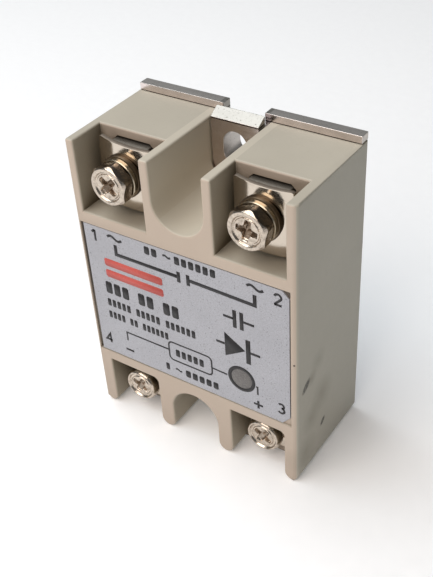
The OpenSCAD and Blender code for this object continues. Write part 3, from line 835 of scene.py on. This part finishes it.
def square_radius(half_x, half_z, corner, angle):
    """Distance from the middle to a rectangle with rounded corners."""
    c = abs(math.cos(angle))
    s = abs(math.sin(angle))
    reach = min(half_x / max(c, 1e-9), half_z / max(s, 1e-9))
    middle_x = half_x - corner
    middle_z = half_z - corner
    if reach * c <= middle_x or reach * s <= middle_z:
        return reach
    along = middle_x * c + middle_z * s
    return along + math.sqrt(max(0.0, along ** 2 - middle_x ** 2 - middle_z ** 2 + corner ** 2))


def clamp_point(t, sweep, angle, share, inset, y):
    """A point of a clamp plate, share of the way from its hole to its inset edge."""
    kind = KINDS[t]
    half_z = (kind.rise + kind.drop) / 2
    turn = math.radians(CLAMP_TURN[t])
    edge = square_radius(kind.half_x - inset, half_z - inset, CLAMP_CORNER, angle)
    reach = kind.hole + (edge - kind.hole) * share
    x = reach * math.cos(angle)
    z = reach * math.sin(angle) + (kind.rise - kind.drop) / 2 * share
    bent = max(0.0, abs(x) - CLAMP_FLAT) / (kind.half_x - CLAMP_FLAT)
    return (x * math.cos(turn) + z * math.sin(turn), y + sweep * bent ** CLAMP_SWEEP,
            z * math.cos(turn) - x * math.sin(turn))


def clamp_plate(t, look):
    """The clamp plate: square, with its sides swept back on a power terminal, and soft edges."""
    node = f"clamp_plate_{t}"
    low, high = box_mm(node)
    screw = centre(f"terminal_screw_{t}")
    thick = KINDS[t].thick
    sweep = high.y - low.y - thick
    shares = [i / CLAMP_ROWS for i in range(CLAMP_ROWS + 1)]
    soft = CLAMP_SOFT
    rows = [(share, soft, 0.0) for share in shares]
    rows += [(1.0, 0.02, 0.02), (1.0, 0.0, soft), (1.0, 0.0, thick - soft), (1.0, 0.02, thick - 0.02)]
    rows += [(share, soft, thick) for share in reversed(shares)]
    rows.append(rows[0])
    points = []
    for share, inset, y in rows:
        for step in range(CLAMP_STEPS):
            points.append(clamp_point(t, sweep, 2 * math.pi * step / CLAMP_STEPS, share, inset, y))
    faces = ring_faces(len(rows), CLAMP_STEPS)
    mesh = mesh_from(points, faces, (screw.x, low.y, screw.z))
    piece(f"wire_clamp_{t}", mesh, look, f"clamp_{t}", [node])


def terminals():
    screws = screw_metal()
    # Flat washers and nuts are painted dark nickel, as painted shade
    shaded_washers = plated_metal("washer_nickel", (98, 84, 68), (50, 41, 33), 0.34, 0.5, bump_mm=0.012)
    springs = plated_metal("spring_nickel", (184, 172, 152), (84, 73, 60), 0.18, 0.32, bump_mm=0.012)
    plates = plated_metal("clamp_nickel", (206, 195, 181), (136, 122, 106), 0.08, 0.2, bump_mm=0.008,
                          sheared=(150, 137, 124))
    bars = plated_metal("bar_brass", (112, 106, 98), (44, 41, 38), 0.5, 0.75, bump_mm=0.05,
                        cloud_per_mm=2.0)
    for t in TERMINALS:
        terminal_screw(t, screws)
        spring_washer(t, springs)
        clamp_plate(t, plates)
        if t in POWER:
            flat_washer(t, shaded_washers)
        for name, edge, look, slot in (("bar", (BAR_EDGE, 3), bars, "bar_brass"),
                                       ("nut", (NUT_EDGE, 2), shaded_washers, "washer_nickel")):
            node = f"terminal_{name}_{t}"
            piece(f"{name}_{t}", bevelled_copy(node, edge), look, "root", [node], flat_faces=True)


# ---------- cover and base plate


# How far the base plate's bent lugs stand in front of its sheet
LUG_RISE = 3.2
# Widths of the rounded edges: the cover's outer rim, the edges inside it, and the base plate's
RIM_EDGE = 0.4
INNER_EDGE = 0.12
PLATE_EDGE = 0.09


def cover():
    """The moulded cover, its outside edges softened as the mould leaves them."""
    low, high = box_mm("housing")
    panel_low, panel_high = box_mm("label")
    plate_front = box_mm("base_plate")[0].y + LUG_RISE

    def before_plate(p):
        return p.y < plate_front - 0.3

    def outer_rim(p):
        """Edges of the front face and the top face, but not those round the label panel."""
        beside_label = (panel_low.x - 1 < p.x < panel_high.x + 0.5
                        and panel_low.z - 0.5 < p.z < panel_high.z + 0.5)
        on_front = p.y < low.y + 0.003 and not beside_label
        on_top = p.z > high.z - 0.05 and before_plate(p)
        return on_front or on_top

    def inner_edge(p):
        """Edges in front of the base plate, but not the groove's left one, too close to the outside."""
        return before_plate(p) and p.x > low.x + 0.55

    mesh = bevelled_copy("housing", (RIM_EDGE, 4, outer_rim), (INNER_EDGE, 1, inner_edge))
    piece("cover_shell", mesh, cover_plastic(), "root", ["housing"], smooth=35,
          flat_faces=True)


def base_plate():
    mesh = bevelled_copy("base_plate", (PLATE_EDGE, 2))
    piece("mounting_plate", mesh, plate_metal(), "root", ["base_plate"], flat_faces=True)


# ---------- drawing with ink


# How far ink stands out from the label
INK_THICK = 0.02
# Space between two words of blocks, in blocks
WORD_SPACE = 0.9


class Print:
    """Flat ink shapes drawn in x and z on the label, gathered into one thin mesh."""

    def __init__(self):
        self.work = bmesh.new()

    def area(self, outline):
        """A filled shape."""
        corners = [self.work.verts.new((x, 0, z)) for x, z in outline]
        self.work.faces.new(corners)

    def stroke(self, line, width, closed=False):
        """A line of even width along the points, mitred at its corners."""
        points = [Vector(p) for p in line]
        ways = [(b - a).normalized() for a, b in zip(points, points[1:])]
        if closed:
            ways.append((points[0] - points[-1]).normalized())
        sides = []
        for i, here in enumerate(points):
            way_in = ways[i - 1] if i > 0 or closed else ways[0]
            way_out = ways[i] if i < len(ways) else way_in
            normal = Vector((-way_in.y, way_in.x))
            mitre = (normal + Vector((-way_out.y, way_out.x))).normalized()
            reach = mitre * width / 2 / max(mitre.dot(normal), 0.35)
            sides.append([self.work.verts.new((p.x, 0, p.y)) for p in (here + reach, here - reach)])
        for i in range(len(ways)):
            a, b = sides[i]
            c, d = sides[(i + 1) % len(sides)]
            self.work.faces.new((a, b, d, c))

    def block(self, x, z, width, height):
        """A small block with cut corners, which stands for a printed letter."""
        c = min(width, height) * 0.18
        self.area([(x + c, z), (x + width - c, z), (x + width, z + c), (x + width, z + height - c),
                   (x + width - c, z + height), (x + c, z + height), (x, z + height - c), (x, z + c)])

    def line_of_blocks(self, left, right, z, height, words, gap):
        """A line of print as blocks: words of so many blocks, filling the space from left to right."""
        step = (right - left) / (sum(words) + WORD_SPACE * (len(words) - 1))
        x = left
        for length in words:
            for _ in range(length):
                self.block(x, z, step * (1 - gap), height)
                x += step
            x += WORD_SPACE * step

    def digit(self, number, x, z, height, width):
        """A digit centred on x and z."""
        for line in DIGITS[number]:
            self.stroke([(x + (u - 0.3) * height, z + (v - 0.5) * height) for u, v in line], width)

    def tilde(self, x, z, length, width):
        """One wave of a sine, centred on x and z."""
        turns = [i / 12 for i in range(13)]
        self.stroke([(x + length * (turn - 0.5), z + 0.12 * length * math.sin(2 * math.pi * turn))
                     for turn in turns], width)

    def mesh(self, y):
        """The ink as a solid skin that stands out from y towards -Y."""
        bmesh.ops.recalc_face_normals(self.work, faces=self.work.faces)
        grown = bmesh.ops.extrude_face_region(self.work, geom=list(self.work.faces))
        for v in [g for g in grown["geom"] if isinstance(g, bmesh.types.BMVert)]:
            v.co.y -= INK_THICK
        bmesh.ops.translate(self.work, verts=self.work.verts, vec=(0, y, 0))
        bmesh.ops.scale(self.work, verts=self.work.verts, vec=(MM, MM, MM))
        bmesh.ops.recalc_face_normals(self.work, faces=self.work.faces)
        made = bpy.data.meshes.new("ink")
        self.work.to_mesh(made)
        self.work.free()
        return made


def arc(x, z, radius, start, end, count):
    """Points along an arc, from start to end degrees."""
    turns = [math.radians(start + (end - start) * i / count) for i in range(count + 1)]
    return [(x + radius * math.cos(a), z + radius * math.sin(a)) for a in turns]


def round_box(x, z, width, height, radius):
    """Outline of a box with round corners, centred on x and z."""
    outline = []
    for start, right, up in ((0, 1, 1), (90, -1, 1), (180, -1, -1), (270, 1, -1)):
        corner_x = x + right * (width / 2 - radius)
        corner_z = z + up * (height / 2 - radius)
        outline += arc(corner_x, corner_z, radius, start, start + 90, 6)
    return outline


# Digits drawn in a cell 0.6 wide and 1 high, as lists of strokes
DIGITS = {
    1: [[(0.08, 0.74), (0.36, 0.98)], [(0.36, 1.0), (0.36, 0.0)]],
    2: [arc(0.3, 0.7, 0.28, 165, -20, 12) + [(0.02, 0.04)], [(0.0, 0.04), (0.6, 0.04)]],
    3: [arc(0.27, 0.74, 0.24, 150, -80, 12), arc(0.27, 0.28, 0.28, 85, -150, 14)],
    4: [[(0.46, 0.0), (0.46, 1.0), (0.0, 0.3), (0.62, 0.3)]],
}


# ---------- label


# Terminal numbers: x, distance in from the label's top (power) or bottom (control), height, line width
NUMBERS = {1: (-19.1, 2.0, 2.4, 0.48), 2: (18.9, 2.1, 2.3, 0.43), 3: (19.3, 3.3, 2.2, 0.44),
           4: (-19.4, 3.3, 2.2, 0.46)}
# Wave signs between two values: x, z, length and line width
RANGE_SIGNS = ((-3.1, 42.2, 1.6, 0.4), (-2.9, 16.3, 1.4, 0.36))
# Lines of print as blocks: left, right, foot, height, blocks in each word, and the gap's share of a block
PRINT_LINES = (
    (-7.9, -4.8, 41.25, 1.65, (2,), 0.28),
    (-1.5, 7.3, 41.25, 1.65, (6,), 0.28),
    (-18.2, -1.2, 28.95, 2.7, (3, 2, 2), 0.24),
    (-18.3, 2.0, 25.9, 1.7, (5, 5, 6), 0.3),
    (-18.4, -4.3, 23.0, 1.6, (4, 2, 6), 0.3),
    (-5.8, -4.7, 15.5, 1.6, (1,), 0.28),
    (-1.3, 6.4, 15.5, 1.6, (5,), 0.28),
)
# Red stripes: left, foot, width and height
STRIPES = ((-17.6, 35.4, 13.0, 1.7), (-17.6, 32.9, 13.0, 1.7))
# How far out from the middle the terminals' lines run, to the left and to the right
LINE_LEFT = -14.5
LINE_RIGHT = 14.5
# Width of the flange that the lamp window hides behind the label
WINDOW_FLANGE = 0.6


def print_numbers(ink, low, high):
    """The terminal numbers, and the signs beside them."""
    for number, (x, inset, height, width) in NUMBERS.items():
        ink.digit(number, x, high.z - inset if number in POWER else low.z + inset, height, width)
    for x in (LINE_LEFT, LINE_RIGHT + 0.1):
        ink.tilde(x, high.z - 1.35, 3.2, 0.5)
    width = 0.46
    minus = low.z + 2.2
    plus = low.z + 1.9
    arm = 0.9
    ink.stroke([(LINE_LEFT - arm, minus), (LINE_LEFT + 1, minus)], width)
    ink.stroke([(LINE_RIGHT - 0.95, plus), (LINE_RIGHT + 0.95, plus)], width)
    ink.stroke([(LINE_RIGHT, plus - arm), (LINE_RIGHT, plus - width / 2)], width)
    ink.stroke([(LINE_RIGHT, plus + width / 2), (LINE_RIGHT, plus + arm)], width)


def print_contact(ink, high):
    """The output contact: a line from each power terminal to an open gap."""
    level = high.z - 4.75
    drop = 2.05
    width = 0.72
    ink.stroke([(LINE_LEFT, level + drop), (LINE_LEFT, level), (-1.25, level)], width)
    for x in (-0.88, 1.1):
        ink.stroke([(x, level + 1.1), (x, level - 1.15)], width)
    ink.stroke([(1.47, level), (LINE_RIGHT, level - 0.25), (LINE_RIGHT, level + drop - 0.1)], width)


def print_input(ink, low, lamp, lamp_radius):
    """The input: from one control terminal, through the round box and the lamp, to the other."""
    width = 0.34
    left = LINE_LEFT - 0.15
    right = LINE_RIGHT - 0.05
    ink.stroke([(left, low.z + 4.6), (left, lamp.z - 0.1), (-4.8, lamp.z - 0.1)], width)
    ink.stroke(round_box(0.05, lamp.z - 0.15, 9.5, 4.3, 0.9), width, closed=True)
    ink.line_of_blocks(-3.2, 3.4, lamp.z - 1.1, 1.7, (5,), 0.3)
    ink.stroke([(4.97, lamp.z - 0.35), (lamp.x - 3.05, lamp.z - 0.45)], width)
    ink.stroke([(lamp.x + 2.98, lamp.z - 0.6), (right, lamp.z - 0.6), (right, lamp.z - 2.4)], width)
    ink.stroke(arc(lamp.x, lamp.z - 0.12, lamp_radius, 0, 360, 64)[:-1], 0.7, closed=True)


def print_capacitor(ink, z):
    """Two bars with a lead each."""
    for x in (10.3, 11.7):
        ink.stroke([(x, z + 1.9), (x, z - 1.9)], 0.75)
    ink.stroke([(8.0, z), (10.1, z)], 0.5)
    ink.stroke([(12.1, z), (14.2, z)], 0.5)


def print_diode(ink, z):
    """A triangle and a bar with a lead each."""
    half = 2.7
    ink.area([(8.0, z - half), (12.2, z), (8.0, z + half)])
    ink.stroke([(12.8, z - half), (12.8, z + half)], 0.95)
    ink.stroke([(6.2, z), (7.95, z)], 0.5)
    ink.stroke([(13.3, z), (15.2, z)], 0.5)


def label_print():
    """Numbers, signs, circuit lines and symbols; print that says something is only blocks."""
    low, high = box_mm("label")
    lamp_radius = round_node("led_window")[0] - WINDOW_FLANGE
    ink = Print()
    print_numbers(ink, low, high)
    print_contact(ink, high)
    print_input(ink, low, centre("led_window"), lamp_radius)
    print_capacitor(ink, 34.0)
    print_diode(ink, 27.6)
    for sign in RANGE_SIGNS:
        ink.tilde(*sign)
    for line in PRINT_LINES:
        ink.line_of_blocks(*line)
    black = print_ink("print_black", (17, 15, 18), (32, 30, 33))
    piece("label_print", ink.mesh(low.y), black, "root", smooth=None)

    stripes = Print()
    for stripe in STRIPES:
        stripes.block(*stripe)
    red = print_ink("print_red", (186, 74, 66), (204, 96, 86))
    piece("label_stripes", stripes.mesh(low.y), red, "root", smooth=None)


def label():
    front = box_mm("label")[0].y
    sheet = bevelled_copy("label", (0.03, 1, lambda p: p.y < front + 0.01))
    piece("label_sheet", sheet, label_film(), "root", ["label"])
    window = bevelled_copy("led_window", (0.08, 2))
    piece("lamp_window", window, window_plastic(), "root", ["led_window"])
    label_print()


# ---------- circuit inside


# Resistors: node, the two tones of the lacquer, and bands by place along the body (-1 to 1) and colour
RESISTORS = (
    ("input_resistors", (196, 160, 112), (212, 180, 134),
     ((-0.6, (120, 70, 30)), (-0.25, (20, 20, 20)), (0.1, (190, 40, 30)), (0.6, (200, 160, 60)))),
    ("gate_resistors", (70, 120, 170), (92, 140, 186),
     ((-0.6, (220, 120, 30)), (-0.2, (230, 210, 60)), (0.2, (120, 70, 30)), (0.6, (120, 70, 30)))),
)


def dress(node, look):
    """Gives a CAD node its material."""
    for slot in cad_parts[node].material_slots:
        slot.material = look


def circuit():
    """Materials of the CAD nodes inside, which stay as they are."""
    chip = plain_moulding("chip_plastic", (34, 34, 36), (46, 46, 48), 0.5)
    for node in ("optocoupler", "input_transistor", "protection_diode", "power_triac"):
        dress(node, chip)
    dress("indicator_led", plain_moulding("led_lens", (186, 30, 24), (214, 50, 40), 0.2, 1.0))
    dress("circuit_board", board_laminate())
    for node, dark, light, bands in RESISTORS:
        dress(node, banded_resistor(node, dark, light, bands))
    dress("snubber_capacitor", plain_moulding("capacitor_film", (150, 52, 34), (176, 70, 48), 0.3))
    dress("snubber_resistor", plain_moulding("resistor_cement", (214, 210, 198), (230, 226, 214), 0.7))
    dress("ceramic_insulator", plain_moulding("ceramic_white", (232, 231, 224), (240, 239, 233), 0.4))
    dress("potting_resin", plain_moulding("resin_black", (24, 24, 26), (36, 36, 38), 0.25, 0.4, 0.05))
    dress("gate_lead", plated_metal("lead_copper", (196, 140, 100), (96, 84, 70), 0.25, 0.45))


# ---------- floor, light and camera


# In metres: half the floor's side, and the point that the lights look at
FLOOR_HALF = 3.0
LIT_POINT = (0, 0, 0.03)
# Lamps: place and size in metres, watts and tint
LAMPS = {
    "key": ((-0.06, -0.46, 0.52), (0.6, 0.5), 3.05, (1.0, 0.9, 0.83)),
    "top": ((-0.24, -0.03, 0.6), (0.45, 0.45), 2.4, (0.95, 1.01, 1.06)),
}
WORLD_TINT = (0.96, 1.0, 1.03, 1.0)
WORLD_STRENGTH = 0.16
# The camera that took the photograph: its aim, distance, turn round the relay, height and tilt
CAMERA_AIM = (-0.45, -1.04, 29.65)
CAMERA_DISTANCE = 170.83
CAMERA_AZIMUTH = math.radians(35.96)
CAMERA_ELEVATION = math.radians(37.11)
CAMERA_ROLL = math.radians(-3.86)
CAMERA_LENS = 57.88
CAMERA_SENSOR = 36


def floor():
    half = FLOOR_HALF
    mesh = bpy.data.meshes.new("floor")
    mesh.from_pydata([(-half, -half, 0), (half, -half, 0), (half, half, 0), (-half, half, 0)], [],
                     [(0, 1, 2, 3)])
    mesh.materials.append(floor_paper())
    in_scene("floor", mesh)


def lights():
    for name, (place, size, watts, tint) in LAMPS.items():
        data = bpy.data.lights.new(name, "AREA")
        data.shape = "RECTANGLE"
        data.size, data.size_y = size
        data.energy = watts
        data.color = tint
        made = in_scene(name, data)
        made.location = place
        made.rotation_euler = (Vector(LIT_POINT) - Vector(place)).to_track_quat("-Z", "Y").to_euler()
    world = bpy.data.worlds.new("studio")
    world.use_nodes = True
    background = world.node_tree.nodes["Background"]
    background.inputs["Color"].default_value = WORLD_TINT
    background.inputs["Strength"].default_value = WORLD_STRENGTH
    bpy.context.scene.world = world
    bpy.context.scene.view_settings.view_transform = "Standard"


def camera():
    level = Vector((math.sin(CAMERA_AZIMUTH), -math.cos(CAMERA_AZIMUTH), 0))
    back = level * math.cos(CAMERA_ELEVATION) + Vector((0, 0, math.sin(CAMERA_ELEVATION)))
    unrolled = Vector((math.cos(CAMERA_AZIMUTH), math.sin(CAMERA_AZIMUTH), 0))
    right = Matrix.Rotation(CAMERA_ROLL, 3, back) @ unrolled
    up = back.cross(right)
    data = bpy.data.cameras.new("camera")
    data.lens = CAMERA_LENS
    data.sensor_width = CAMERA_SENSOR
    data.clip_start = 0.005
    made = in_scene("camera", data)
    place = (Vector(CAMERA_AIM) + back * CAMERA_DISTANCE) * MM
    made.matrix_world = Matrix.Translation(place) @ Matrix((right, up, back)).transposed().to_4x4()
    bpy.context.scene.camera = made


cover()
base_plate()
label()
terminals()
circuit()
floor()
lights()
camera()
